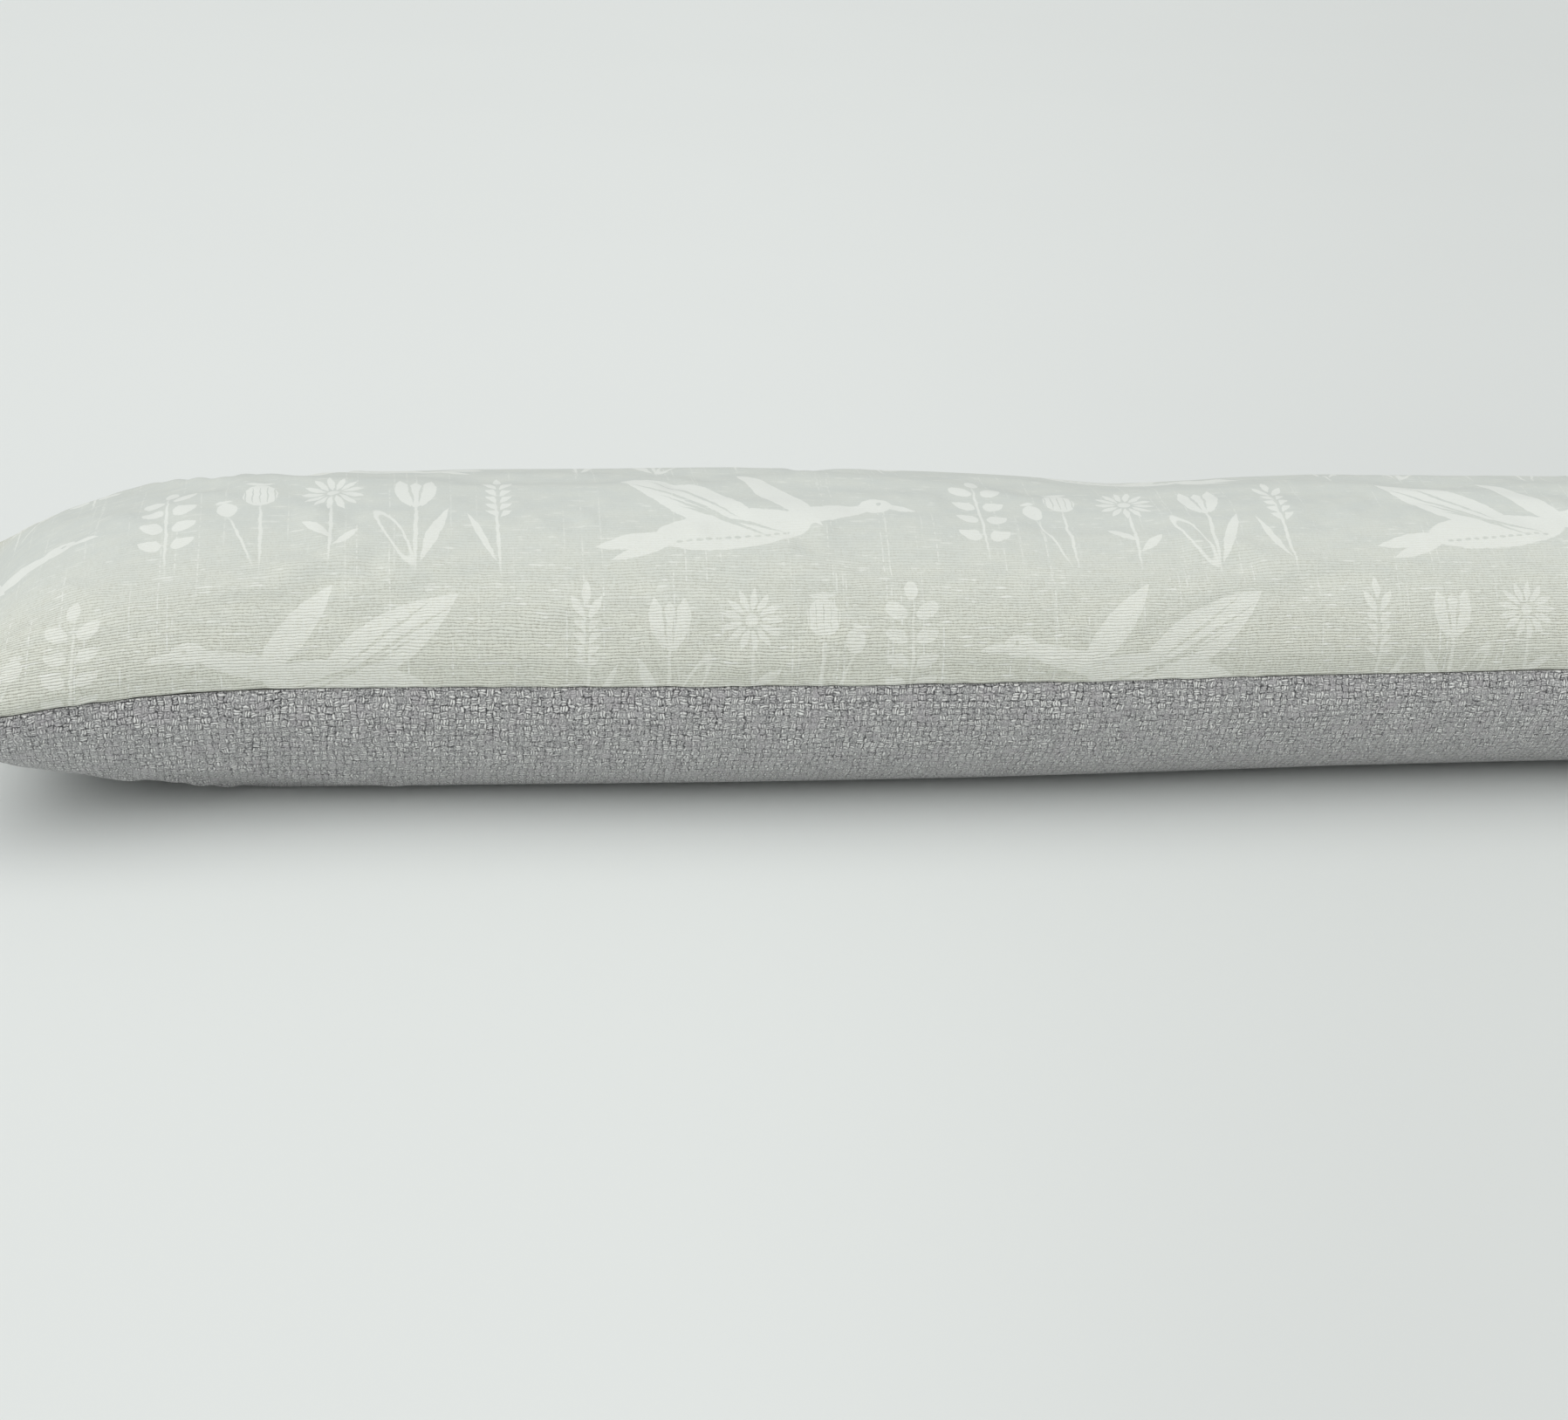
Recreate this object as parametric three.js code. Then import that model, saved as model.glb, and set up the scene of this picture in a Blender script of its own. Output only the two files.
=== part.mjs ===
import * as THREE from "three";

// A long stuffed draught excluder, lying on a level surface. Two equal cloth panels are sewn together all
// round: a printed one above and a plain basket-weave one below. X runs along its length, the front is at
// -Y, and the origin is on the surface below its middle. Sizes are in millimetres.

// Driving sizes
const LENGTH = 885; // from corner tip to corner tip, once stuffed
const PANEL_WIDTH = 165; // each panel, measured over the cloth from one long seam to the other
const SEAM_HEIGHT = 48.5; // long seams above the surface
const CROWN_RISE = 48; // top of the printed panel above the seams
const BASE_DEPTH = 50.5; // depth of the lower panel before the surface presses it flat
const SEAM_GAP = 0.3; // air left between the two panels where they meet
const SEAM_TUCK = 1.6; // how far the stitches draw the long seams in
const TUCK_HEIGHT = 0.16; // share of the rise over which that tuck fades

// The closed ends: how far the fullness takes to build up, and how bluntly it does so
const CROWN_END = { reach: 119, power: 2 };
const BASE_END = { reach: 118, power: 2.35 };
const DRAW_IN = 11; // the middle of an end seam lies this far inside its corners
const DRAW_REACH = 62;
const CORNER_REACH = 95; // the corners lift and drop over this length
const CORNER_HALF_WIDTH = 73; // from the middle line to a corner tip, the rest of the width being gathered
const FLARE_REACH = 140; // the sides spread towards the corners over this length
const CORNER_THINNING = 0.35; // how much flatter the cloth is near a corner than in mid-length

// Height of each corner above the long seams
const CORNERS = {
  left: { front: -7, back: 0 },
  right: { front: -3, back: -5 },
};

// How the body wanders along its length: its middle line's place in Y and the change in its crown
const WANDER = [
  { x: -440, sway: 0, crown: 0 },
  { x: -320, sway: 0, crown: 0.6 },
  { x: -195, sway: -3.2, crown: 2.6 },
  { x: -95, sway: -2.4, crown: 1.4 },
  { x: 0, sway: 1.2, crown: -0.6 },
  { x: 75, sway: 3.2, crown: -2.2 },
  { x: 250, sway: 2.0, crown: -0.6 },
  { x: 440, sway: 0, crown: 0 },
];

// Soft folds across the printed panel. crownX is where a fold crosses the top and seamX where its line would
// meet the front seam. from and to are angles round the panel, in half turns from the back seam.
const FOLDS = [
  { crownX: -70, seamX: -128, depth: 5.6, reach: 34, from: 0.3, to: 0.74 },
  { crownX: -52, seamX: -64, depth: 1.8, reach: 13, from: 0.62, to: 0.86 },
  { crownX: 2, seamX: 10, depth: 1.6, reach: 9, from: 0.42, to: 0.78 },
  { crownX: -150, seamX: -143, depth: 1.0, reach: 15, from: 0.6, to: 0.85 },
  { crownX: 180, seamX: 158, depth: 3.0, reach: 30, from: 0.25, to: 0.7 },
  { crownX: 292, seamX: 300, depth: 1.8, reach: 18, from: 0.35, to: 0.8 },
  { crownX: -300, seamX: -290, depth: 1.2, reach: 24, from: 0.1, to: 0.4 },
];
const FOLD_FADE = 0.16;

// How finely the solids are divided
const STATIONS = 96;
const ANGLE_STEPS = 28;
const STATION_CROWDING = 0.75; // 0 spaces the stations evenly, 1 crowds them most towards the ends
const CAP_STATIONS = 5; // stations that each end's cap spans, enough to pass the drawn-in end seam

// For a half ellipse of half-axes a and b, its length is very nearly 2 (a^k + b^k)^(1/k) with this k
const ARC_POWER = Math.log(2) / Math.log(Math.PI / 2);
const MEAN_HEIGHT = (CROWN_RISE + BASE_DEPTH) / 2;
const FULL_HALF_WIDTH = ((PANEL_WIDTH / 2) ** ARC_POWER - MEAN_HEIGHT ** ARC_POWER) ** (1 / ARC_POWER);

// Share of full size at a distance from the end: 0 at the end seam, 1 from the reach onwards
function fullness(distance, end) {
  const t = Math.min(distance / end.reach, 1);
  return (1 - (1 - t) ** end.power) ** (1 / end.power);
}

// A value that is 1 at the end seam and falls smoothly to 0 at the reach
function nearEnd(distance, reach) {
  return Math.max(1 - distance / reach, 0) ** 2;
}

// Smooth reading of one column of the table of wander
function wander(x, column) {
  const place = THREE.MathUtils.clamp(x, WANDER[0].x, WANDER.at(-1).x);
  const next = Math.max(WANDER.findIndex((row) => row.x >= place), 1);
  const [low, high] = [WANDER[next - 1], WANDER[next]];
  const share = THREE.MathUtils.smoothstep(place, low.x, high.x);
  return THREE.MathUtils.lerp(low[column], high[column], share);
}

// How deep the folds press in at a place on the printed panel
function foldDepth(x, turn) {
  let depth = 0;
  for (const fold of FOLDS) {
    const centre = THREE.MathUtils.lerp(fold.crownX, fold.seamX, 2 * turn - 1);
    const opens = THREE.MathUtils.smoothstep(turn, fold.from - FOLD_FADE, fold.from + FOLD_FADE);
    const closes = 1 - THREE.MathUtils.smoothstep(turn, fold.to - FOLD_FADE, fold.to + FOLD_FADE);
    depth += fold.depth * opens * closes * Math.exp(-(((x - centre) / fold.reach) ** 2));
  }
  return depth;
}

// Everything about the cross-section at one place along the length
function sectionAt(x) {
  const distance = LENGTH / 2 - Math.abs(x);
  const crownShare = fullness(distance, CROWN_END);
  const rise = (CROWN_RISE + wander(x, "crown")) * crownShare;
  const depth = BASE_DEPTH * fullness(distance, BASE_END);
  const flare = nearEnd(distance, FLARE_REACH);
  const corner = x < 0 ? CORNERS.left : CORNERS.right;
  const lift = nearEnd(distance, CORNER_REACH);
  return {
    x,
    rise,
    depth,
    crownShare,
    halfWidth: THREE.MathUtils.lerp(FULL_HALF_WIDTH, CORNER_HALF_WIDTH, flare),
    frontLift: corner.front * lift,
    backLift: corner.back * lift,
    drawIn: DRAW_IN * nearEnd(distance, DRAW_REACH) * Math.sign(x),
    flatness: 1 + CORNER_THINNING * nearEnd(distance, CROWN_END.reach),
    sway: wander(x, "sway"),
  };
}

// A point of a panel. turn goes from 0 at the back seam to 1 at the front one; side is 1 for the printed
// panel and -1 for the lower one, and 0 gives the surface that parts the two.
function panelPoint(section, turn, side) {
  const across = Math.cos(Math.PI * turn);
  const up = Math.sin(Math.PI * turn);
  const tuck = SEAM_TUCK * section.crownShare * Math.max(1 - up / TUCK_HEIGHT, 0);
  const seamLift = THREE.MathUtils.lerp(section.frontLift, section.backLift, (1 + across) / 2);
  const height = side > 0 ? section.rise : section.depth;
  const fold = side > 0 ? foldDepth(section.x, turn) * section.crownShare * up : 0;
  const x = section.x - section.drawIn * up * up;
  const y = section.sway + (section.halfWidth - tuck - fold) * across;
  const bulge = side * (height * up ** section.flatness - fold * up);
  const gap = (Math.sign(side) * SEAM_GAP) / 2;
  return new THREE.Vector3(x, y, Math.max(SEAM_HEIGHT + seamLift + bulge + gap, 0));
}

// Stations lie closer together towards the ends, where the shape turns fastest
function makeSections() {
  const sections = [];
  for (let i = 0; i <= STATIONS; i += 1) {
    const even = (2 * i) / STATIONS - 1;
    const crowded = Math.sin((Math.PI / 2) * even);
    const share = THREE.MathUtils.lerp(even, crowded, STATION_CROWDING);
    sections.push(sectionAt((LENGTH / 2) * share));
  }
  return sections;
}

// The parting surface seen from above: straight strips from seam to seam, and a cap at each curved end seam
function partingTriangles(points, index) {
  const triangles = [];
  const addCap = (outline) => {
    const flat = outline.map((k) => new THREE.Vector2(points[k].x, points[k].y));
    const faces = THREE.ShapeUtils.triangulateShape(flat, []);
    triangles.push(...faces.map((face) => face.map((k) => outline[k])));
  };
  const frontSeam = (i) => index(i, ANGLE_STEPS);
  const backSeam = (i) => index(i, 0);
  const last = STATIONS - CAP_STATIONS;
  const steps = (from, to) => Array.from({ length: to - from + 1 }, (_, k) => from + k);

  for (let i = CAP_STATIONS; i < last; i += 1) {
    triangles.push([frontSeam(i), frontSeam(i + 1), backSeam(i + 1)]);
    triangles.push([frontSeam(i), backSeam(i + 1), backSeam(i)]);
  }
  const inner = steps(1, ANGLE_STEPS - 1);
  const leftStations = steps(0, CAP_STATIONS);
  const rightStations = steps(last, STATIONS);
  addCap([
    ...leftStations.toReversed().map(backSeam),
    ...inner.map((j) => index(0, j)),
    ...leftStations.map(frontSeam),
  ]);
  addCap([
    ...rightStations.map(frontSeam),
    ...inner.toReversed().map((j) => index(STATIONS, j)),
    ...rightStations.toReversed().map(backSeam),
  ]);
  return triangles;
}

// One filled panel: its outer skin, closed by the parting surface that runs between its edges
function filledPanel(sections, side) {
  const columns = ANGLE_STEPS + 1;
  const index = (i, j) => i * columns + j;
  const points = [];
  for (const section of sections) {
    for (let j = 0; j < columns; j += 1) {
      points.push(panelPoint(section, j / ANGLE_STEPS, side));
    }
  }
  const skin = [];
  for (let i = 0; i < STATIONS; i += 1) {
    for (let j = 0; j < ANGLE_STEPS; j += 1) {
      const [a, b, c, d] = [index(i, j), index(i + 1, j), index(i + 1, j + 1), index(i, j + 1)];
      const leansOutward = i < STATIONS / 2 === j < ANGLE_STEPS / 2;
      skin.push(...(leansOutward ? [[a, c, b], [a, d, c]] : [[a, d, b], [b, d, c]]));
    }
  }

  // Both lists face up here, so one of them is turned over
  const turnOver = ([a, b, c]) => [a, c, b];
  const parting = partingTriangles(points, index);
  const faces = side > 0 ? [...skin, ...parting.map(turnOver)] : [...skin.map(turnOver), ...parting];
  const geometry = new THREE.BufferGeometry().setFromPoints(points);
  geometry.setIndex(faces.flat());
  geometry.computeVertexNormals();
  return geometry;
}

const printCloth = new THREE.MeshStandardMaterial({ color: 0xcdd4cb, roughness: 0.92, metalness: 0 });
const basketCloth = new THREE.MeshStandardMaterial({ color: 0x949395, roughness: 0.95, metalness: 0 });

const sections = makeSections();
const printPanel = new THREE.Mesh(filledPanel(sections, 1), printCloth);
printPanel.name = "print_panel";
const basePanel = new THREE.Mesh(filledPanel(sections, -1), basketCloth);
basePanel.name = "base_panel";

const draughtExcluder = new THREE.Group();
draughtExcluder.name = "draught_excluder";
draughtExcluder.add(printPanel, basePanel);

export default draughtExcluder;
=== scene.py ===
"""A long stuffed draught excluder, lying on a pale surface: a printed panel above, sewn with plain seams
to a basket-weave panel below. Sizes are in metres, +X runs along the length, and the front long seam is at
-Y.
"""

import functools
import math

import bmesh
import bpy
import numpy as np
from mathutils import Matrix, Vector


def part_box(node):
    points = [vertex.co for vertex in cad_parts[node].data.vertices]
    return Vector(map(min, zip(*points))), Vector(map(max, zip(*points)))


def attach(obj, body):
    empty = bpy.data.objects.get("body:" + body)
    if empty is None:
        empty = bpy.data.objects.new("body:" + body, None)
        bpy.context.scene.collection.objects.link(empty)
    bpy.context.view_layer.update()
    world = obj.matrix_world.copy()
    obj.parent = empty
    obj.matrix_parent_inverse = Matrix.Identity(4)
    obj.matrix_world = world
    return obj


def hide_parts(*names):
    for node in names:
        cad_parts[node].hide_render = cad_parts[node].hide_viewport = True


bl_info = {
    "name": "Draught excluder",
    "version": (1, 0, 0),
    "blender": (4, 5, 0),
    "location": "3D View > Sidebar > Excluder",
    "description": "Makes the two sewn covers of a stuffed draught excluder and the surface it lies on",
    "category": "Add Mesh",
}

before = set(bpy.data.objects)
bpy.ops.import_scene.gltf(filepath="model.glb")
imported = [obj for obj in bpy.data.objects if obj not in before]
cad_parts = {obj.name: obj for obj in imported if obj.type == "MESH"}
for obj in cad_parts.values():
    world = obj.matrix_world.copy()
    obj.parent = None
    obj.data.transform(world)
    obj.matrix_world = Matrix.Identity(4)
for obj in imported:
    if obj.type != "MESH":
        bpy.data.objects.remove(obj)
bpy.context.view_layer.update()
PRINT_LOW, PRINT_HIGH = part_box("print_panel")
BASE_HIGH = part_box("base_panel")[1]

# Air left between the two panels where they meet
SEAM_GAP = 0.0003

# The closed ends: how far the fullness takes to build up, and how bluntly it does so
CROWN_END = {"reach": 0.119, "power": 2.0}
BASE_END = {"reach": 0.118, "power": 2.35}

# Corners: how the end seams draw in, and how the sides spread, thin and lift towards them
DRAW_IN = {"depth": 0.011, "reach": 0.062}
FLARE = {"half_width": 0.073, "reach": 0.140}
CORNER_THINNING = 0.35
CORNER_REACH = 0.095
CORNER_LIFT = {"left": {"front": -0.007, "back": 0.0}, "right": {"front": -0.003, "back": -0.005}}

# How the stitches draw the long seams in, as a depth and the share of the rise over which it fades
SEAM_TUCK = {"depth": 0.0016, "height": 0.16}

# How the body wanders along its length: its middle line's place in Y and the change in its crown
WANDER = [
    {"x": -0.440, "sway": 0.0, "crown": 0.0},
    {"x": -0.320, "sway": 0.0, "crown": 0.0006},
    {"x": -0.195, "sway": -0.0032, "crown": 0.0026},
    {"x": -0.095, "sway": -0.0024, "crown": 0.0014},
    {"x": 0.000, "sway": 0.0012, "crown": -0.0006},
    {"x": 0.075, "sway": 0.0032, "crown": -0.0022},
    {"x": 0.250, "sway": 0.0020, "crown": -0.0006},
    {"x": 0.440, "sway": 0.0, "crown": 0.0},
]

# Soft folds across the printed panel. crown_x is where a fold crosses the top and seam_x where its line
# would meet the front seam. starts and ends are angles round the panel, in half turns from the back seam.
FOLDS = [
    {"crown_x": -0.070, "seam_x": -0.128, "depth": 0.0056, "reach": 0.034, "starts": 0.30, "ends": 0.74},
    {"crown_x": -0.052, "seam_x": -0.064, "depth": 0.0018, "reach": 0.013, "starts": 0.62, "ends": 0.86},
    {"crown_x": 0.002, "seam_x": 0.010, "depth": 0.0016, "reach": 0.009, "starts": 0.42, "ends": 0.78},
    {"crown_x": -0.150, "seam_x": -0.143, "depth": 0.0010, "reach": 0.015, "starts": 0.60, "ends": 0.85},
    {"crown_x": 0.180, "seam_x": 0.158, "depth": 0.0030, "reach": 0.030, "starts": 0.25, "ends": 0.70},
    {"crown_x": 0.292, "seam_x": 0.300, "depth": 0.0018, "reach": 0.018, "starts": 0.35, "ends": 0.80},
    {"crown_x": -0.300, "seam_x": -0.290, "depth": 0.0012, "reach": 0.024, "starts": 0.10, "ends": 0.40},
]
FOLD_FADE = 0.16

# Narrow creases that only the cloth has, in the same terms
CREASES = [
    {"crown_x": 0.031, "seam_x": 0.029, "depth": 0.0014, "reach": 0.0060, "starts": 0.56, "ends": 0.72},
    {"crown_x": 0.022, "seam_x": 0.000, "depth": 0.0013, "reach": 0.0060, "starts": 0.66, "ends": 0.84},
    {"crown_x": -0.090, "seam_x": -0.117, "depth": 0.0014, "reach": 0.0070, "starts": 0.70, "ends": 0.88},
    {"crown_x": -0.050, "seam_x": -0.054, "depth": 0.0008, "reach": 0.0060, "starts": 0.78, "ends": 0.90},
]

# For a half ellipse of half-axes a and b, its length is very nearly 2 (a^k + b^k)^(1/k) with this k
ARC_POWER = math.log(2) / math.log(math.pi / 2)

MILLIMETRES = 1000.0


class ExcluderShape(bpy.types.PropertyGroup):
    """Sizes of the stuffed form"""

    length: bpy.props.FloatProperty(
        name="Length",
        description="From corner tip to corner tip, once stuffed",
        default=PRINT_HIGH.x - PRINT_LOW.x,
        unit="LENGTH",
    )
    panel_width: bpy.props.FloatProperty(
        name="Panel width",
        description="Each panel over the cloth, from one long seam to the other",
        default=0.165,
        unit="LENGTH",
    )
    seam_height: bpy.props.FloatProperty(
        name="Seam height",
        description="Long seams above the surface",
        default=BASE_HIGH.z + SEAM_GAP / 2,
        unit="LENGTH",
    )
    crown_rise: bpy.props.FloatProperty(
        name="Crown",
        description="Top of the printed panel above the seams",
        default=0.048,
        unit="LENGTH",
    )
    base_depth: bpy.props.FloatProperty(
        name="Base",
        description="Depth of the lower panel before the surface presses it flat",
        default=0.0505,
        unit="LENGTH",
    )
    seam_gap: bpy.props.FloatProperty(
        name="Seam gap",
        description="Air left between the two panels where they meet",
        default=SEAM_GAP,
        unit="LENGTH",
    )
    print_roll: bpy.props.FloatProperty(
        name="Print seam roll",
        description="Radius at which the printed cloth turns into the seam",
        default=0.0008,
        unit="LENGTH",
    )
    base_roll: bpy.props.FloatProperty(
        name="Base seam roll",
        description="Radius at which the basket cloth turns into the seam",
        default=0.0008,
        unit="LENGTH",
    )
    pucker: bpy.props.FloatProperty(
        name="Seam pucker",
        description="How far the stitches make the cloth ripple beside a seam",
        default=0.00035,
        unit="LENGTH",
    )
    fill: bpy.props.FloatProperty(
        name="Fill",
        description="How tightly it is stuffed",
        default=0.8,
        subtype="FACTOR",
    )


class ExcluderCloths(bpy.types.PropertyGroup):
    """Scales and colours of the two cloths"""

    rib_pitch: bpy.props.FloatProperty(
        name="Rib pitch",
        description="From one weft rib of the printed cloth to the next",
        default=0.00094,
        unit="LENGTH",
        precision=5,
    )
    basket_pitch: bpy.props.FloatProperty(
        name="Basket pitch",
        description="Side of one block of strands in the basket weave",
        default=0.0023,
        unit="LENGTH",
        precision=5,
    )
    ground: bpy.props.FloatVectorProperty(
        name="Ground",
        description="Pale grey-green of the printed cloth",
        default=(0.725, 0.752, 0.715),
        subtype="COLOR",
    )
    ink: bpy.props.FloatVectorProperty(
        name="Ink",
        description="Off-white of the print",
        default=(0.790, 0.805, 0.745),
        subtype="COLOR",
    )
    basket: bpy.props.FloatVectorProperty(
        name="Basket cloth",
        description="Mid grey of the basket weave",
        default=(0.460, 0.459, 0.456),
        subtype="COLOR",
    )


class ExcluderStage(bpy.types.PropertyGroup):
    """The surface, the light and the camera"""

    floor_colour: bpy.props.FloatVectorProperty(
        name="Floor",
        description="Pale surface under the object",
        default=(0.785, 0.812, 0.80),
        subtype="COLOR",
    )
    sky_strength: bpy.props.FloatProperty(
        name="Soft light",
        description="Strength of the light that comes from all round",
        default=0.50,
    )
    window_strength: bpy.props.FloatProperty(
        name="Window light",
        description="Strength of the very wide light above the object, a little to its left and front",
        default=1.46,
    )
    room_strength: bpy.props.FloatProperty(
        name="Room light",
        description="Strength of the low wide light from in front of the object",
        default=0.74,
    )
    window_spread: bpy.props.FloatProperty(
        name="Window spread",
        description="How wide the window light looks from the object",
        default=math.radians(90),
        subtype="ANGLE",
    )
    lens: bpy.props.FloatProperty(
        name="Lens",
        description="Focal length for a 36 mm wide picture",
        default=59.2,
        unit="CAMERA",
    )


def eased(t):
    """A share from 0 to 1 with a smooth start and finish."""
    t = np.clip(t, 0, 1)
    return t * t * (3 - 2 * t)


def fullness(distance, end):
    """Share of full size at a distance from the end: 0 at the end seam, 1 from the reach onwards."""
    t = np.clip(distance / end["reach"], 0, 1)
    return (1 - (1 - t) ** end["power"]) ** (1 / end["power"])


def near_end(distance, reach):
    """A value that is 1 at the end seam and falls smoothly to 0 at the reach."""
    return np.maximum(1 - distance / reach, 0) ** 2


def wander(x, column):
    """Smooth reading of one column of the table of wander."""
    places = np.array([row["x"] for row in WANDER])
    values = np.array([row[column] for row in WANDER])
    x = np.clip(x, places[0], places[-1])
    upper = np.clip(np.searchsorted(places, x), 1, len(places) - 1)
    share = eased((x - places[upper - 1]) / (places[upper] - places[upper - 1]))
    return values[upper - 1] + (values[upper] - values[upper - 1]) * share


def fold_depth(x, turn):
    """How deep the folds press in at each place on the printed panel."""
    depth = 0
    for fold in FOLDS + CREASES:
        centre = fold["crown_x"] + (fold["seam_x"] - fold["crown_x"]) * (2 * turn - 1)
        opens = eased((turn - fold["starts"] + FOLD_FADE) / (2 * FOLD_FADE))
        closes = 1 - eased((turn - fold["ends"] + FOLD_FADE) / (2 * FOLD_FADE))
        depth = depth + fold["depth"] * opens * closes * np.exp(-(((x - centre) / fold["reach"]) ** 2))
    return depth


def panel_points(shape, x, turn, side, roll, gap):
    """Places on a panel's skin. turn goes from 0 at the back seam to 1 at the front one; side is 1 for the
    printed panel and -1 for the lower one. The skin stops short of the parting plane, by a seam roll and
    half of the gap."""
    distance = shape.length / 2 - np.abs(x)
    crown_share = fullness(distance, CROWN_END)
    mean_height = (shape.crown_rise + shape.base_depth) / 2
    arc = (shape.panel_width / 2) ** ARC_POWER - mean_height**ARC_POWER
    full_half_width = arc ** (1 / ARC_POWER)
    flare = near_end(distance, FLARE["reach"])
    half_width = full_half_width + (FLARE["half_width"] - full_half_width) * flare
    flatness = 1 + CORNER_THINNING * near_end(distance, CROWN_END["reach"])
    across = np.cos(math.pi * turn)
    up = np.sin(math.pi * turn)
    if side > 0:
        height = (shape.crown_rise + wander(x, "crown")) * crown_share
        fold = fold_depth(x, turn) * crown_share * up
    else:
        height = shape.base_depth * fullness(distance, BASE_END)
        fold = 0
    tuck = SEAM_TUCK["depth"] * crown_share * np.maximum(1 - up / SEAM_TUCK["height"], 0)
    lift = near_end(distance, CORNER_REACH)
    front = np.where(x < 0, CORNER_LIFT["left"]["front"], CORNER_LIFT["right"]["front"]) * lift
    back = np.where(x < 0, CORNER_LIFT["left"]["back"], CORNER_LIFT["right"]["back"]) * lift
    seam = shape.seam_height + front + (back - front) * (1 + across) / 2
    draw_in = DRAW_IN["depth"] * near_end(distance, DRAW_IN["reach"]) * np.sign(x)
    bulge = np.maximum(height - roll, 0) * up**flatness - fold * up
    z = seam + side * (gap / 2 + roll + bulge)
    y = wander(x, "sway") + (half_width - tuck - fold) * across
    return np.stack([x - draw_in * up**2, y, np.maximum(z, 0)], axis=-1)


# How much closer the stations lie near the ends
END_CROWDING = 1.15


def stations(shape, step):
    """Places along the length: by equal turns of the end's curve near the ends, and evenly between them."""
    reach = CROWN_END["reach"]
    end_steps = round(END_CROWDING * reach / step)
    angles = np.linspace(0, math.pi / 2, end_steps + 1)
    end = shape.length / 2 - reach * (1 - np.cos(angles))
    middle_steps = round((shape.length - 2 * reach) / step)
    middle = np.linspace(-end[-1], end[-1], middle_steps + 1)
    return np.concatenate([-end[:-1], middle, end[:-1][::-1]])


def cloth_places(points, shape):
    """Where each point of a skin lies on its flat cloth: along the length from the middle, and across it
    from the middle line, both measured over the cloth."""
    middle = points.shape[0] // 2
    along = np.linalg.norm(np.diff(points, axis=0), axis=2)
    along = np.concatenate([np.zeros((1, points.shape[1])), np.cumsum(along, axis=0)])
    along -= along[middle]
    across = np.linalg.norm(np.diff(points, axis=1), axis=2)
    across = np.concatenate([np.zeros((points.shape[0], 1)), np.cumsum(across, axis=1)], axis=1)
    share = across / across[:, -1:]
    return np.stack([along, shape.panel_width * (0.5 - share)], axis=-1)


# Small enough to guard a division and change nothing else
TINY = 1e-12


def skin_normals(points, side):
    """Unit normals of a skin, pointing out."""
    along = np.gradient(points, axis=0)
    across = np.gradient(points, axis=1)
    normals = np.cross(across, along) * side
    length = np.linalg.norm(normals, axis=2, keepdims=True)
    return normals / np.maximum(length, TINY)


def smooth_noise(places, pitch, seed):
    """Smooth random values from -1 to 1 along a line, with a new one about every pitch."""
    low = math.floor(places.min() / pitch) - 1
    count = math.ceil(places.max() / pitch) - low + 2
    values = np.random.default_rng(seed).uniform(-1, 1, count)
    at = places / pitch - low
    index = np.floor(at).astype(int)
    share = eased(at - index)
    return values[index] * (1 - share) + values[index + 1] * share


# Ripples beside the long seams and the end seams: the pitches of the fine and the broad ones, the strength
# of the broad ones, how far each leans along the seam as it leaves it, how soon they fade, and their seeds
LONG_RIPPLES = {
    "fine": 0.0046,
    "broad": 0.017,
    "broad_strength": 0.9,
    "fine_lean": 0.25,
    "broad_lean": -0.15,
    "fade": 0.007,
    "seeds": {1: (11, 16), -1: (23, 28)},
}
END_RIPPLES = {
    "fine": 0.0052,
    "broad": 0.013,
    "broad_strength": 1.4,
    "fine_lean": 0.0,
    "broad_lean": 0.1,
    "fade": 0.0112,
    "seeds": {1: (37, 40), -1: (41, 44)},
}


def ripples(beside, from_seam, kind, edge, side):
    """Ripples at places along a seam and distances from it."""
    fine_seed, broad_seed = kind["seeds"][edge]
    fine = smooth_noise(beside + kind["fine_lean"] * from_seam, kind["fine"], fine_seed + side)
    broad = smooth_noise(beside + kind["broad_lean"] * from_seam, kind["broad"], broad_seed + side)
    return (fine + kind["broad_strength"] * broad) * np.exp(-from_seam / kind["fade"])


def seam_puckers(cloth, shape, side):
    """Small ripples that the stitches leave beside the seams, strongest at the stitches."""
    along = cloth[..., 0]
    across = cloth[..., 1]
    puckers = 0
    for edge in (1, -1):
        from_long_seam = shape.panel_width / 2 - edge * across
        from_end_seam = np.abs(along).max() - edge * along
        puckers = puckers + ripples(along, from_long_seam, LONG_RIPPLES, edge, side)
        puckers = puckers + ripples(across, from_end_seam, END_RIPPLES, edge, side)
    return shape.pucker * puckers


# Points closer than this, in millimetres, become one
WELD = 0.002

# The settling of the covers, simulated as one sewn skin of woven cloth. It runs at ten times the real size,
# where the solver's forces suit its steps. The skin's faces point inwards, so its pressure lays the cloth
# onto its filling, which holds it softly to the stuffed form.
SETTLING_SCALE = 10.0
SETTLING_STEP = 0.0056
SETTLING_ROWS = 28
SETTLING_FRAMES = 24
SETTLING_CLOTH = {
    "quality": 6,
    "mass": 0.08,
    "tension_stiffness": 30,
    "compression_stiffness": 30,
    "shear_stiffness": 8,
    "bending_stiffness": 0.4,
    "tension_damping": 8,
    "compression_damping": 8,
    "shear_damping": 8,
    "pin_stiffness": 0.6,
    "uniform_pressure_force": 4.0,
}
HOLD_OF_FILLING = 0.35

# The flat cloth's length, and its width across as a share of the panel's
FLAT_CLOTH_LENGTH = 0.905
TIGHT_ACROSS = 0.965

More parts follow.
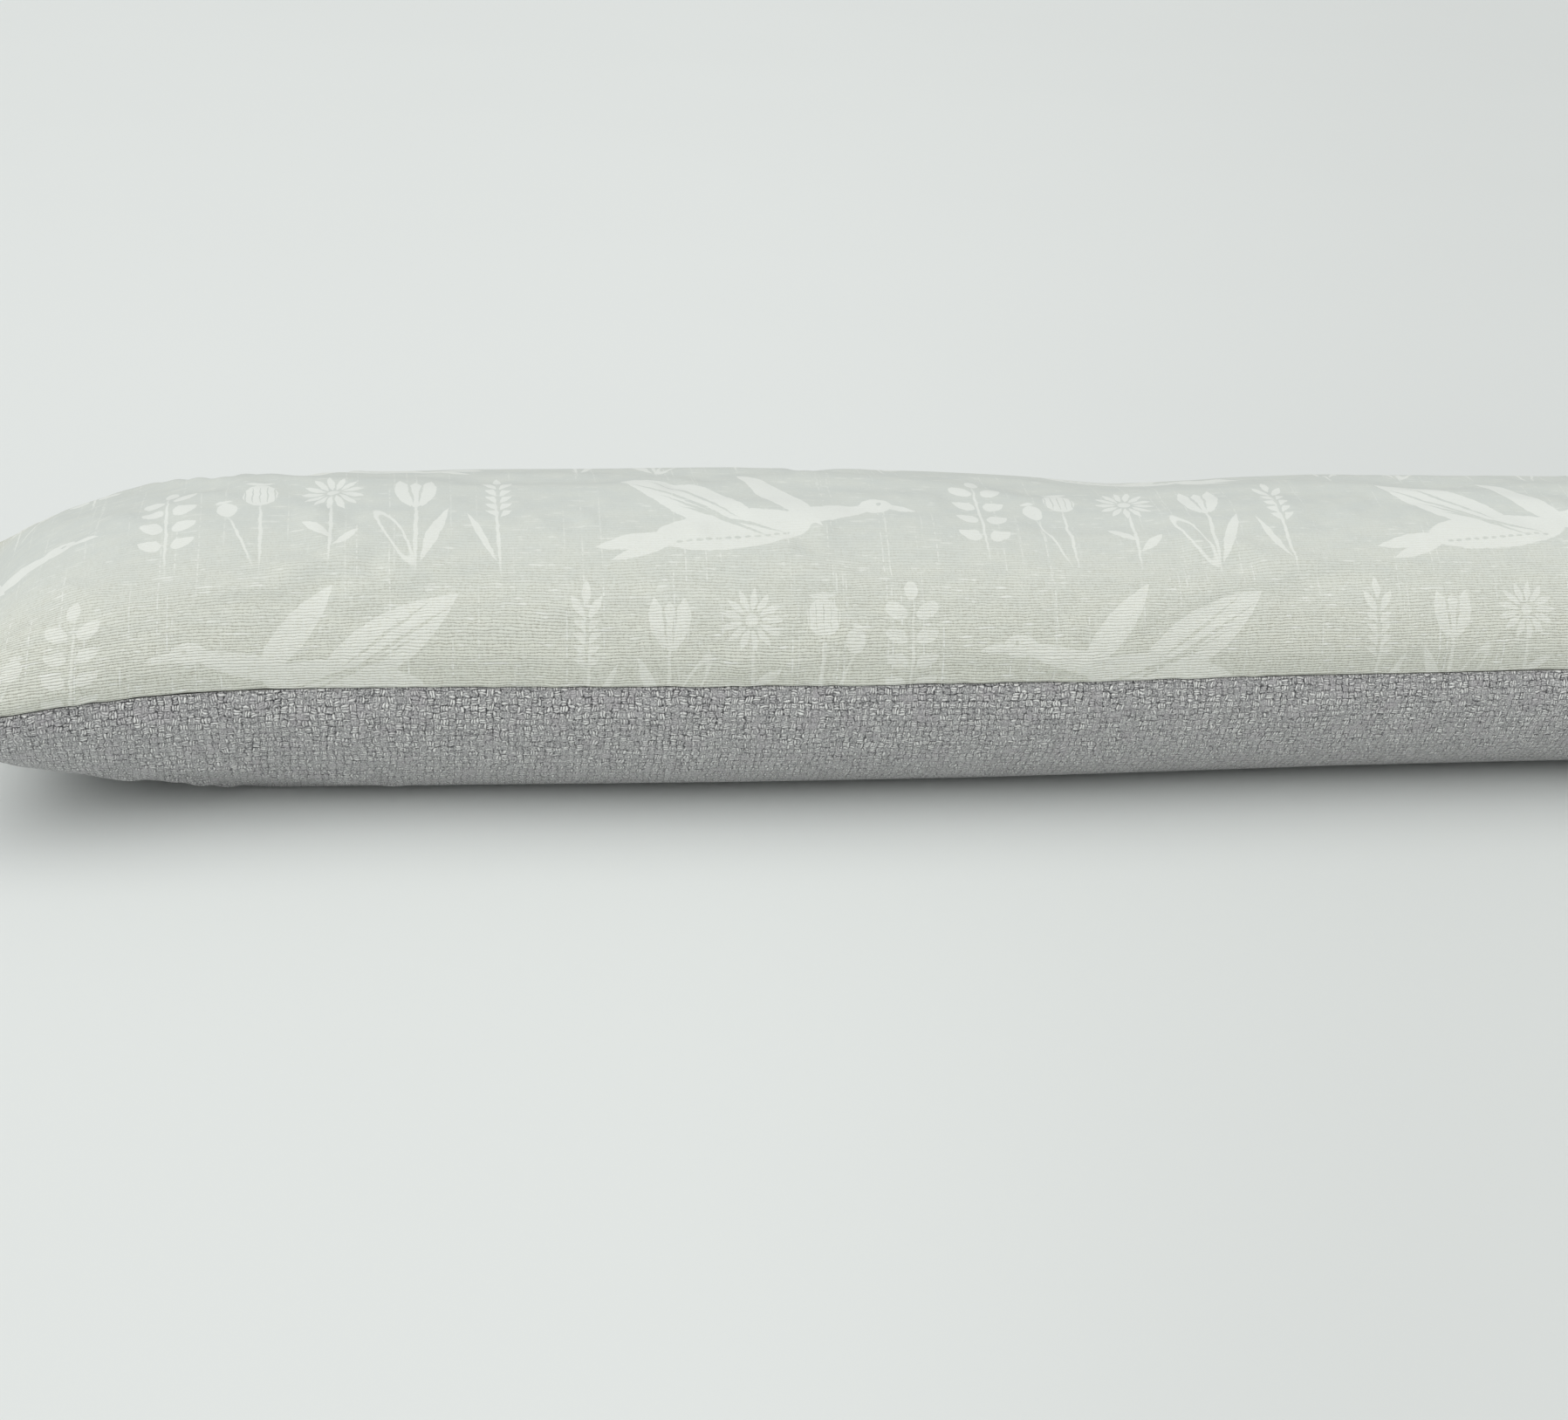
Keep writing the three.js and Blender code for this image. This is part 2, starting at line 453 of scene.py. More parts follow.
# What is kept of the moves: how many rounds of smoothing find the broad part that is left out, how far from
# an end seam the rest is full, and the most that a point moves
BROAD_ROUNDS = 60
END_FADE = 0.110
MOST_SETTLING = 0.0012


def sewn_skin(shape):
    """Both panels as one closed coarse skin, sewn along their border, with its faces pointing inwards. Each
    point also holds its place on the flat cloth and its place in the grid of its panel."""
    x = stations(shape, SETTLING_STEP)
    turn = np.linspace(0, 1, SETTLING_ROWS + 1)
    grid_x, grid_turn = np.meshgrid(x, turn, indexing="ij")
    bm = bmesh.new()
    flat_layer = bm.verts.layers.float_vector.new("flat")
    grid_layer = bm.verts.layers.float_vector.new("grid")
    for side in (1, -1):
        points = panel_points(shape, grid_x, grid_turn, side, roll=0, gap=0)
        across = cloth_places(points, shape)[..., 1] * TIGHT_ACROSS
        along = np.broadcast_to((x / shape.length * FLAT_CLOTH_LENGTH)[:, None], across.shape)
        made = bmesh.ops.create_grid(bm, x_segments=len(x) - 1, y_segments=SETTLING_ROWS, size=1)["verts"]
        rows = [(i, j) for j in range(SETTLING_ROWS + 1) for i in range(len(x))]
        for vert, (i, j) in zip(made, rows):
            vert.co = points[i, j] * MILLIMETRES
            vert[flat_layer] = (along[i, j], across[i, j], 0)
            vert[grid_layer] = (i, j, side)
        if side < 0:
            bmesh.ops.reverse_faces(bm, faces=list({face for vert in made for face in vert.link_faces}))
    bmesh.ops.remove_doubles(bm, verts=bm.verts, dist=WELD)
    bmesh.ops.scale(bm, vec=(SETTLING_SCALE / MILLIMETRES,) * 3, verts=bm.verts)
    mesh = bpy.data.meshes.new("sewn_skin")
    bm.to_mesh(mesh)
    bm.free()
    return mesh, x


def read_vectors(data, name, count):
    """A column of vectors from mesh data."""
    values = np.zeros(count * 3, np.float32)
    data.foreach_get(name, values)
    return values.reshape(-1, 3).astype(float)


def let_settle(skin):
    """Runs the cloth simulation on a skin and returns where its points end."""
    skin.shape_key_add(name="stuffed")
    flat = skin.shape_key_add(name="flat")
    count = len(skin.data.vertices)
    places = read_vectors(skin.data.attributes["flat"].data, "vector", count) * SETTLING_SCALE
    flat.data.foreach_set("co", places.ravel())
    flat.value = 0.0
    holding = skin.vertex_groups.new(name="filling")
    holding.add(range(count), HOLD_OF_FILLING, "REPLACE")
    settling = skin.modifiers.new("settling", "CLOTH")
    cloth = settling.settings
    for setting, value in SETTLING_CLOTH.items():
        setattr(cloth, setting, value)
    cloth.rest_shape_key = flat
    cloth.vertex_group_mass = holding.name
    cloth.use_pressure = True
    cloth.effector_weights.gravity = 0
    settling.point_cache.frame_start = 1
    settling.point_cache.frame_end = SETTLING_FRAMES
    scene = bpy.context.scene
    for frame_number in range(1, SETTLING_FRAMES + 1):
        scene.frame_set(frame_number)
    settled = skin.evaluated_get(bpy.context.evaluated_depsgraph_get())
    points = read_vectors(settled.data.vertices, "co", count)
    scene.frame_set(1)
    return points


def broad_part(moves):
    """The part of the moves that stays the same along the length."""
    broad = moves
    for _ in range(BROAD_ROUNDS):
        padded = np.concatenate([broad[:1], broad, broad[-1:]])
        broad = (padded[:-2] + 2 * padded[1:-1] + padded[2:]) / 4
    return broad


@functools.cache
def settled_moves():
    """The places of the two coarse panels' rows, and how far the settling cloth moves each of their points.
    The broad part is left out, since the stuffed form has it, and the moves fade out at the end seams."""
    shape = bpy.context.scene.excluder_shape
    mesh, x = sewn_skin(shape)
    skin = piece("sewn_skin", mesh)
    count = len(mesh.vertices)
    start = read_vectors(mesh.vertices, "co", count)
    moves = (let_settle(skin) - start) / SETTLING_SCALE
    panels = {side: np.zeros((len(x), SETTLING_ROWS + 1, 3)) for side in (1, -1)}
    for move, place in zip(moves, read_vectors(mesh.attributes["grid"].data, "vector", count)):
        i, j, side = (int(round(part)) for part in place)
        panels[side][i, j] = move
        if i in (0, len(x) - 1) or j in (0, SETTLING_ROWS):
            panels[-side][i, j] = move
    bpy.data.objects.remove(skin)
    bpy.data.meshes.remove(mesh)
    fade = eased((shape.length / 2 - np.abs(x)) / END_FADE)[:, None, None]
    for side, moves in panels.items():
        fine = (moves - broad_part(moves)) * fade
        length = np.linalg.norm(fine, axis=2, keepdims=True)
        panels[side] = fine * MOST_SETTLING * np.tanh(length / MOST_SETTLING) / np.maximum(length, TINY)
    return x, panels


def between(values, places):
    """Smooth reading of a table's rows at places given in steps of its first axis."""
    last = len(values) - 1
    index = np.clip(np.floor(places).astype(int), 0, last - 1)
    t = (places - index)[:, None, None]
    before, low, high, after = (values[np.clip(index + k, 0, last)] for k in (-1, 0, 1, 2))
    slope_low = (high - before) / 2
    slope_high = (after - low) / 2
    return (
        low * (2 * t**3 - 3 * t**2 + 1)
        + high * (3 * t**2 - 2 * t**3)
        + slope_low * (t**3 - 2 * t**2 + t)
        + slope_high * (t**3 - t**2)
    )


def settled(x, turn, side):
    """The moves of the settled cloth, read at the rows and columns of a fine panel."""
    coarse_x, panels = settled_moves()
    along = between(panels[side], np.interp(x, coarse_x, np.arange(len(coarse_x))))
    return between(along.transpose(1, 0, 2), turn * SETTLING_ROWS).transpose(1, 0, 2)


# How finely the covers are divided
STATION_STEP = 0.0012
ROW_STEP = 0.0022
ROLL_STEPS = 4

# The roll turns in towards the middle line, which stops this far from the end seams
MIDDLE_LINE_STOPS = 0.04

SHARP_ANGLE = math.radians(65)


def rolled_in(points, cloth, shape, side, roll):
    """A skin and its places on the flat cloth with the roll added. Each border row is repeated for the steps
    of the roll, which turns in and down to the parting plane."""
    steps_x = np.arange(-ROLL_STEPS, points.shape[0] + ROLL_STEPS)
    steps_turn = np.arange(-ROLL_STEPS, points.shape[1] + ROLL_STEPS)
    columns = np.clip(steps_x, 0, points.shape[0] - 1)
    strips = np.clip(steps_turn, 0, points.shape[1] - 1)
    points = points[np.ix_(columns, strips)]
    cloth = cloth[np.ix_(columns, strips)]
    outside_x = np.abs(steps_x - columns)[:, None]
    outside_turn = np.abs(steps_turn - strips)[None, :]
    angle = np.maximum(outside_x, outside_turn) / ROLL_STEPS * math.pi / 2
    reach = shape.length / 2 - MIDDLE_LINE_STOPS
    middle_line = np.clip(points[..., 0], -reach, reach)
    inward = np.stack([middle_line - points[..., 0], -points[..., 1]], axis=-1)
    inward /= np.maximum(np.linalg.norm(inward, axis=2, keepdims=True), TINY)
    points[..., :2] += inward * (roll * (1 - np.cos(angle)))[..., None]
    points[..., 2] -= side * roll * np.sin(angle)
    turned_in = np.stack(np.broadcast_arrays(outside_x, outside_turn), axis=-1)
    return points, cloth + np.sign(cloth) * turned_in / ROLL_STEPS * roll * math.pi / 2


def cover_mesh(name, shape, side, roll):
    """One panel as a closed crowned form: its skin, the roll into the seam, and a lid between the seams."""
    x = stations(shape, STATION_STEP)
    rows = 2 * round(shape.panel_width / 2 / ROW_STEP)
    turn = np.linspace(0, 1, rows + 1)
    grid_x, grid_turn = np.meshgrid(x, turn, indexing="ij")
    points = panel_points(shape, grid_x, grid_turn, side, roll, shape.seam_gap)
    cloth = cloth_places(points, shape)
    normals = skin_normals(points, side)
    points = points + normals * seam_puckers(cloth, shape, side)[..., None]
    points = points + settled(x, turn, side)
    points[..., 2] = np.maximum(points[..., 2], 0)
    points, cloth = rolled_in(points, cloth, shape, side, roll)

    bm = bmesh.new()
    bmesh.ops.create_grid(bm, x_segments=points.shape[0] - 1, y_segments=points.shape[1] - 1, size=1)
    place = bm.verts.layers.float_vector.new("cloth_place")
    places = points.transpose(1, 0, 2).reshape(-1, 3)
    flats = cloth.transpose(1, 0, 2).reshape(-1, 2)
    for vert, point, flat in zip(bm.verts, places, flats):
        vert.co = point * MILLIMETRES
        vert[place] = (flat[0], flat[1], 0)
    bmesh.ops.remove_doubles(bm, verts=bm.verts, dist=WELD)
    border = [edge for edge in bm.edges if edge.is_boundary]
    bmesh.ops.triangle_fill(bm, edges=border, use_beauty=False, normal=(0, 0, -side))
    bmesh.ops.scale(bm, vec=(1 / MILLIMETRES,) * 3, verts=bm.verts)
    bmesh.ops.recalc_face_normals(bm, faces=bm.faces)
    if bm.calc_volume(signed=True) < 0:
        bmesh.ops.reverse_faces(bm, faces=bm.faces)
    for face in bm.faces:
        face.smooth = True
    mesh = bpy.data.meshes.new(name)
    bm.to_mesh(mesh)
    bm.free()
    mesh.set_sharp_from_angle(angle=SHARP_ANGLE)
    lay_cloth(mesh)
    return mesh


def lay_cloth(mesh):
    """Turns the stored places on the flat cloth into the UV map that the weaves read."""
    flat = read_vectors(mesh.attributes["cloth_place"].data, "vector", len(mesh.vertices))
    corner = np.zeros(len(mesh.loops), np.int32)
    mesh.loops.foreach_get("vertex_index", corner)
    uv = flat[corner, :2].astype(np.float32)
    mesh.uv_layers.new(name="flat_cloth").data.foreach_set("uv", uv.ravel())
    mesh.attributes.remove(mesh.attributes["cloth_place"])


def piece(name, mesh):
    """Puts a mesh in the scene as a new object."""
    made = bpy.data.objects.new(name, mesh)
    bpy.context.scene.collection.objects.link(made)
    return made


class Field:
    """A value that changes over a surface. Sums and products of it become Math nodes."""

    def __init__(self, tree, socket):
        self.tree = tree
        self.socket = socket

    def maths(self, operation, *others):
        node = self.tree.nodes.new("ShaderNodeMath")
        node.operation = operation
        self.tree.links.new(self.socket, node.inputs[0])
        for entry, other in zip(node.inputs[1:], others):
            feed(self.tree, entry, other)
        return Field(self.tree, node.outputs[0])

    def __add__(self, other):
        return self.maths("ADD", other)

    def __sub__(self, other):
        return self.maths("SUBTRACT", other)

    def __mul__(self, other):
        return self.maths("MULTIPLY", other)

    def __truediv__(self, other):
        return self.maths("DIVIDE", other)

    def __pow__(self, other):
        return self.maths("POWER", other)

    def __abs__(self):
        return self.maths("ABSOLUTE")

    def floor(self):
        return self.maths("FLOOR")

    def fraction(self):
        return self.maths("FRACT")

    def most(self, other):
        return self.maths("MAXIMUM", other)

    def least(self, other):
        return self.maths("MINIMUM", other)

    def ramp(self, low, high, to_low=0.0, to_high=1.0):
        """The value carried smoothly from one range to another, and held at its ends."""
        node = self.tree.nodes.new("ShaderNodeMapRange")
        node.interpolation_type = "SMOOTHSTEP"
        values = {"Value": self, "From Min": low, "From Max": high, "To Min": to_low, "To Max": to_high}
        for entry, value in values.items():
            feed(self.tree, node.inputs[entry], value)
        return Field(self.tree, node.outputs["Result"])


def feed(tree, entry, value):
    """Links a field or a socket to a node's input, or sets a plain value there."""
    if isinstance(value, Field):
        tree.links.new(value.socket, entry)
    elif isinstance(value, bpy.types.NodeSocket):
        tree.links.new(value, entry)
    else:
        entry.default_value = value


def add_node(tree, kind, inputs=None, **settings):
    """A node with its settings made and its inputs fed."""
    node = tree.nodes.new(kind)
    for setting, value in settings.items():
        setattr(node, setting, value)
    for entry, value in (inputs or {}).items():
        feed(tree, node.inputs[entry], value)
    return node


def noise(tree, vector, scale, detail=2.0, roughness=0.5, output="Factor", **settings):
    """Noise over a vector, as a field, or as a colour socket with output Color."""
    inputs = {"Vector": vector, "Scale": scale, "Detail": detail, "Roughness": roughness}
    node = add_node(tree, "ShaderNodeTexNoise", inputs, **settings)
    if output == "Color":
        return node.outputs["Color"]
    return Field(tree, node.outputs[0])


def random_of(tree, *parts):
    """A random value from 0 to 1 for each different set of two or three whole numbers."""
    cell = add_node(tree, "ShaderNodeCombineXYZ", dict(enumerate(parts)))
    dice = add_node(tree, "ShaderNodeTexWhiteNoise", {"Vector": cell.outputs[0]}, noise_dimensions="3D")
    return Field(tree, dice.outputs["Value"])


def node_group(name, inputs, outputs):
    """A new shader node group. inputs maps names to default values, and outputs lists names."""
    tree = bpy.data.node_groups.new(name, "ShaderNodeTree")
    for label, value in inputs.items():
        kind = "NodeSocketVector" if isinstance(value, tuple) else "NodeSocketFloat"
        socket = tree.interface.new_socket(label, in_out="INPUT", socket_type=kind)
        socket.default_value = value
    for label in outputs:
        tree.interface.new_socket(label, in_out="OUTPUT", socket_type="NodeSocketFloat")
    return tree, tree.nodes.new("NodeGroupInput"), tree.nodes.new("NodeGroupOutput")


def place_group(tree, group, inputs):
    """A node that holds a group in another tree."""
    node = tree.nodes.new("ShaderNodeGroup")
    node.node_tree = group
    for entry, value in inputs.items():
        feed(tree, node.inputs[entry], value)
    return node


def read_outputs(tree, node, *names):
    """A node's outputs, as fields."""
    return [Field(tree, node.outputs[name]) for name in names]


def split(tree, vector):
    """The first two parts of a vector, as fields."""
    node = add_node(tree, "ShaderNodeSeparateXYZ", {"Vector": vector})
    return Field(tree, node.outputs[0]), Field(tree, node.outputs[1])


def join(tree, x, y, z=0.0):
    """A vector socket from three values."""
    return add_node(tree, "ShaderNodeCombineXYZ", {0: x, 1: y, 2: z}).outputs[0]


@functools.cache
def slub_rib_weave():
    """A plain weave of thick wefts over fine warps, with slubs in both. Place is on the flat cloth, in
    metres."""
    inputs = {"Place": (0.0, 0.0, 0.0), "Rib Pitch": 0.00094}
    tree, given, out = node_group("slub rib weave", inputs, ["Height", "Shade", "Slub", "Tint"])
    place = given.outputs["Place"]
    pitch = Field(tree, given.outputs["Rib Pitch"])
    along, across = split(tree, place)

    drift = noise(tree, join(tree, along * 22.0, across * 60.0), 1.0, detail=1.0)
    shiver = noise(tree, join(tree, along * 260.0, across * 500.0), 1.0, detail=1.0)
    rib = across / pitch + (drift - 0.5) * 2.4 + (shiver - 0.5) * 0.8
    number = rib.floor()
    within = rib.fraction()
    rounded = (within * math.pi).maths("SINE").most(0.0) ** 0.55
    pair = (number * 0.5).fraction() * 2.0
    character = random_of(tree, number, 3.0, 0.0)

    warp = along / pitch * 1.9
    warp_number = warp.floor()
    warp_within = (warp.fraction() * math.pi).maths("SINE")
    warp_random = random_of(tree, warp_number, number, 7.0)

    dash = noise(tree, join(tree, along * 150.0, number * 1.37, 0.0), 1.0, detail=2.0)
    dash_mask = dash.ramp(0.575, 0.73) * rounded
    thread = random_of(tree, warp_number, 0.0, 5.0).ramp(0.93, 0.96)
    stretch = noise(tree, join(tree, warp_number * 2.3, across * 45.0, 4.0), 1.0, detail=1.0)
    dots = noise(tree, join(tree, warp_number * 3.1, number * 0.9, 9.0), 1.0, detail=0.0)
    warp_slub = thread * stretch.ramp(0.45, 0.60) * dots.ramp(0.35, 0.6)
    fleck = noise(tree, join(tree, along * 1000.0, number * 2.3, 3.0), 1.0, detail=1.0)
    slub = dash_mask.most(warp_slub).most(fleck.ramp(0.60, 0.80) * 0.5 * rounded)

    fibre = noise(tree, join(tree, along * 1500.0, across * 2600.0), 1.0, detail=2.0)
    broken = noise(tree, join(tree, along * 1500.0, number * 1.7, 6.0), 1.0, detail=2.0)
    bead = warp_within * 0.16 * (warp_random * 0.7 + 0.3)
    height = rounded * (character * 0.22 + 0.70) + bead + slub * 0.3 + (fibre - 0.5) * 0.3 - pair * 0.06
    # Painted shade: the hollows between the ribs are darker, broken up by noise. The Shade output also
    # carries the yarns' own tone, which differs at random.
    hollow_shade = (rounded * -1.0 + 1.0) * broken.ramp(0.34, 0.62, 0.0, 1.1)
    varied = character * 0.12 + (fibre - 0.5) * 0.75 + (warp_random - 0.5) * 0.36
    shade = hollow_shade * -1.0 + 0.72 + varied
    tint = noise(tree, join(tree, along * 90.0, across * 190.0, 2.0), 1.0, detail=3.0)
    for label, value in (("Height", height), ("Shade", shade), ("Slub", slub), ("Tint", tint)):
        feed(tree, out.inputs[label], value)
    return tree


# Strands side by side in each block of the basket weave
STRANDS = 3.0


@functools.cache
def basket_weave():
    """Blocks of parallel strands, turned from block to block. Place is on the flat cloth, in metres."""
    inputs = {"Place": (0.0, 0.0, 0.0), "Block": 0.0023}
    tree, given, out = node_group("basket weave", inputs, ["Height", "Yarn and Gleam", "Gap", "Heather"])
    place = given.outputs["Place"]
    block = Field(tree, given.outputs["Block"])
    along, across = split(tree, place)

    def jitter(scale, seed):
        return noise(tree, join(tree, along * scale, across * scale, seed), 1.0, detail=1.0) - 0.5

    at_x = along / block + jitter(330.0, 1.0) * 0.75 + jitter(60.0, 3.0) * 1.2
    at_y = across / block + jitter(330.0, 5.0) * 0.75 + jitter(60.0, 8.0) * 1.2
    block_x = at_x.floor()
    block_y = at_y.floor()
    in_x = at_x.fraction()
    in_y = at_y.fraction()
    upright = ((block_x + block_y) * 0.5).fraction() * 2.0
    flat = upright * -1.0 + 1.0
    crosswise = in_x * upright + in_y * flat
    lengthwise = in_y * upright + in_x * flat

    strand = (crosswise * STRANDS).floor()
    in_strand = (crosswise * STRANDS).fraction() * 2.0 - 1.0
    rounded = (in_strand * in_strand * -1.0 + 1.0).most(0.0)
    dips = (lengthwise * math.pi).maths("SINE").most(0.0) ** 0.6
    sits = random_of(tree, block_x, block_y, strand + 4.0)
    lies = random_of(tree, block_x, block_y, 17.0)
    fibre_place = join(tree, crosswise * 3.2 + block_x * 3.7, lengthwise * 0.7 + block_y * 2.9, strand)
    fibre = noise(tree, fibre_place, 3.0, detail=2.0)
    grain = noise(tree, place, 1900.0, detail=2.0) - 0.5
    crest = (rounded ** 0.5) * dips
    lively = (jitter(230.0, 12.0) + 0.5).ramp(0.28, 0.56, 0.45, 1.0)
    height = crest * (sits * 0.6 + 0.4) + (fibre - 0.5) * 0.3
    # Painted shade: the crevices between strands and the open holes are dark, where shade falls inside the
    # weave. The Gap output carries this.
    hole_shade = noise(tree, place, 700.0, detail=3.0, roughness=0.6).ramp(0.57, 0.68)
    crevice_breakup = noise(tree, place, 1150.0, detail=1.0).ramp(0.38, 0.58, 0.2, 1.1)
    sunk = (sits * 0.6 + lies * 0.6).ramp(0.05, 0.62)
    crevice_shade = crest.ramp(0.28, 0.84, 1.0, 0.0) * sunk * lively * crevice_breakup
    gap = crevice_shade.most(hole_shade * 0.8).least(1.0)
    heather = jitter(120.0, 2.0) + 0.5
    # Painted highlight: a thin bright line along the top of each strand. The lightness sent out adds it to
    # the fibres' own tone, which differs at random.
    gleam = (rounded ** 2.2) * dips * sits.ramp(0.30, 0.95) * lively
    lightness = gleam * 1.15 + (fibre - 0.5) * 1.1 + grain * 2.4 + 0.25
    for label, value in (("Height", height), ("Yarn and Gleam", lightness), ("Gap", gap), ("Heather", heather)):
        feed(tree, out.inputs[label], value)
    return tree


# The print: one repeat holds a flying goose over a row of five plants, and every second column is dropped by
# half a repeat and mirrored. Places and sizes are in millimetres on the flat cloth, and tilts in degrees. A
# row with cut leaves the ground bare in the shapes before it.
REPEAT = {"width": 128.0, "height": 104.0, "raised": -48.0}

GOOSE = [
    {"form": "oval", "x": -4.0, "y": 18.0, "long": 25.0, "wide": 8.2, "tilt": 6},
    {"form": "oval", "x": 22.0, "y": 24.0, "long": 20.0, "wide": 3.9, "tilt": 14},
    {"form": "oval", "x": 42.5, "y": 29.6, "long": 5.6, "wide": 3.6, "tilt": 6},
    {"form": "leaf", "x": 50.0, "y": 28.8, "long": 6.0, "wide": 1.5, "tilt": -8},
    {"form": "leaf", "x": -34.0, "y": 13.6, "long": 14.0, "wide": 3.0, "tilt": 10},
    {"form": "leaf", "x": -32.0, "y": 10.4, "long": 12.0, "wide": 2.4, "tilt": 22},
    {"form": "leaf", "x": 12.0, "y": 34.5, "long": 20.0, "wide": 4.6, "tilt": 128},
    {"form": "leaf", "x": -15.0, "y": 31.0, "long": 28.0, "wide": 8.4, "tilt": 146},
    {"form": "leaf", "x": -9.0, "y": 24.2, "long": 19.0, "wide": 0.55, "tilt": 151, "cut": True},
    {"form": "leaf", "x": -17.0, "y": 30.5, "long": 22.0, "wide": 0.55, "tilt": 147, "cut": True},
    {"form": "leaf", "x": -16.0, "y": 34.2, "long": 17.0, "wide": 0.50, "tilt": 143, "cut": True},
    {"form": "leaf", "x": -4.0, "y": 22.6, "long": 17.0, "wide": 0.60, "tilt": 160, "cut": True},
    {"form": "oval", "x": 43.8, "y": 30.6, "long": 0.75, "wide": 0.75, "tilt": 0, "cut": True},
]
GOOSE_DOTS = {
    "x": -6.0,
    "y": 14.6,
    "tilt": 5,
    "pitch": 3.1,
    "first": -5,
    "last": 6,
    "long": 0.95,
    "wide": 0.5,
}

WHEAT = [
    {"form": "oval", "x": 0.4, "y": 11.0, "long": 17.0, "wide": 0.60, "tilt": 88},
    {"form": "leaf", "x": 5.4, "y": 9.6, "long": 11.0, "wide": 1.2, "tilt": 66},
    {"form": "leaf", "x": 0.0, "y": 41.0, "long": 4.2, "wide": 1.3, "tilt": 90},
]
WHEAT_EAR = {
    "y": 19.0,
    "pitch": 3.9,
    "count": 5,
    "part": {"x": 2.7, "y": 1.9, "long": 4.3, "wide": 1.35, "tilt": 60},
}

TULIP = [
    {"form": "oval", "x": 0.0, "y": 11.0, "long": 15.0, "wide": 0.70, "tilt": 91},
    {"form": "leaf", "x": -3.3, "y": 31.6, "long": 8.4, "wide": 3.0, "tilt": 102},
    {"form": "leaf", "x": 3.3, "y": 31.6, "long": 8.4, "wide": 3.0, "tilt": 78},
    {"form": "leaf", "x": 0.0, "y": 30.4, "long": 8.0, "wide": 3.6, "tilt": 90},
    {"form": "leaf", "x": -1.6, "y": 32.0, "long": 6.4, "wide": 0.45, "tilt": 97, "cut": True},
    {"form": "leaf", "x": 1.6, "y": 32.0, "long": 6.4, "wide": 0.45, "tilt": 83, "cut": True},
    {"form": "leaf", "x": -5.6, "y": 10.6, "long": 12.0, "wide": 2.0, "tilt": 112},
    {"form": "ring", "x": 6.6, "y": 10.0, "long": 11.5, "wide": 2.5, "tilt": 64},
]

DAISY = [
    {"form": "oval", "x": 0.6, "y": 13.0, "long": 14.5, "wide": 0.60, "tilt": 92},
    {"form": "oval", "x": 0.0, "y": 32.5, "long": 2.0, "wide": 2.0, "tilt": 0},
    {"form": "leaf", "x": 5.0, "y": 13.5, "long": 5.6, "wide": 1.7, "tilt": 38},
    {"form": "leaf", "x": -4.2, "y": 9.0, "long": 5.2, "wide": 1.6, "tilt": 140},
]
DAISY_PETALS = {
    "x": 0.0,
    "y": 32.5,
    "count": 13,
    "part": {"x": 6.4, "y": 0.0, "long": 3.7, "wide": 1.15, "tilt": 0},
}

POPPY = [
    {"form": "oval", "x": -0.4, "y": 13.5, "long": 15.0, "wide": 0.60, "tilt": 89},
    {"form": "oval", "x": 0.0, "y": 33.0, "long": 6.0, "wide": 5.4, "tilt": 90},
    {"form": "oval", "x": 5.6, "y": 11.0, "long": 12.0, "wide": 0.50, "tilt": 70},
    {"form": "oval", "x": 10.0, "y": 25.6, "long": 3.8, "wide": 3.2, "tilt": 74},
    {"form": "oval", "x": 0.0, "y": 39.9, "long": 4.4, "wide": 0.95, "tilt": 0},
    {"form": "oval", "x": 11.2, "y": 29.9, "long": 2.8, "wide": 0.75, "tilt": -16},
]
POPPY_STRIPES = {
    "x": 0.0,
    "y": 33.0,
    "tilt": 0,
    "pitch": 2.3,
    "first": -2,
    "last": 2,
    "long": 0.22,
    "wide": 4.6,
}

SPRIG = [
    {"form": "oval", "x": 0.3, "y": 20.0, "long": 20.0, "wide": 0.55, "tilt": 89},
    {"form": "oval", "x": 0.0, "y": 41.5, "long": 3.2, "wide": 2.2, "tilt": 90},
]
SPRIG_LEAVES = {
    "y": 10.0,
    "pitch": 7.6,
    "count": 4,
    "part": {"x": 5.0, "y": 2.2, "long": 4.0, "wide": 2.5, "tilt": 32},
}

# Where each plant stands along its row, and the foot of the row
PLANT_ROW = {"wheat": -51.0, "tulip": -25.5, "daisy": 0.0, "poppy": 22.5, "sprig": 50.5}
PLANT_FOOT = -46.0
RING_STROKE = 0.42


def moved(tree, point, x, y, tilt=0.0, long=1.0, wide=1.0):
    """A point seen from a shape's own centre, along its own axes and in its own half sizes."""
    inputs = {
        "Vector": point,
        "Location": (x, y, 0),
        "Rotation": (0, 0, math.radians(tilt)),
        "Scale": (long, wide, 1),
    }
    return add_node(tree, "ShaderNodeMapping", inputs, vector_type="TEXTURE").outputs[0]


def inside(tree, point, row):
    """About how far inside a shape each point lies, in millimetres, and less than 0 outside it."""
    local = moved(tree, point, row["x"], row["y"], row["tilt"], row["long"], row["wide"])
    wide = row["wide"]
    if row["form"] == "leaf":
        lengthwise, crosswise = split(tree, local)
        return (lengthwise * lengthwise + abs(crosswise)) * -wide + wide
    away = add_node(tree, "ShaderNodeVectorMath", {0: local}, operation="LENGTH").outputs["Value"]
    filled = Field(tree, away) * -wide + wide
    return abs(filled) * -1.0 + RING_STROKE if row["form"] == "ring" else filled


def drawn(tree, point, rows, shape=None):
    """The shapes of a table, laid over each other in its order."""
    for row in rows:
        part = inside(tree, point, row)
        if shape is None:
            shape = part
        else:
            shape = shape.least(part * -1.0) if row.get("cut") else shape.most(part)
    return shape


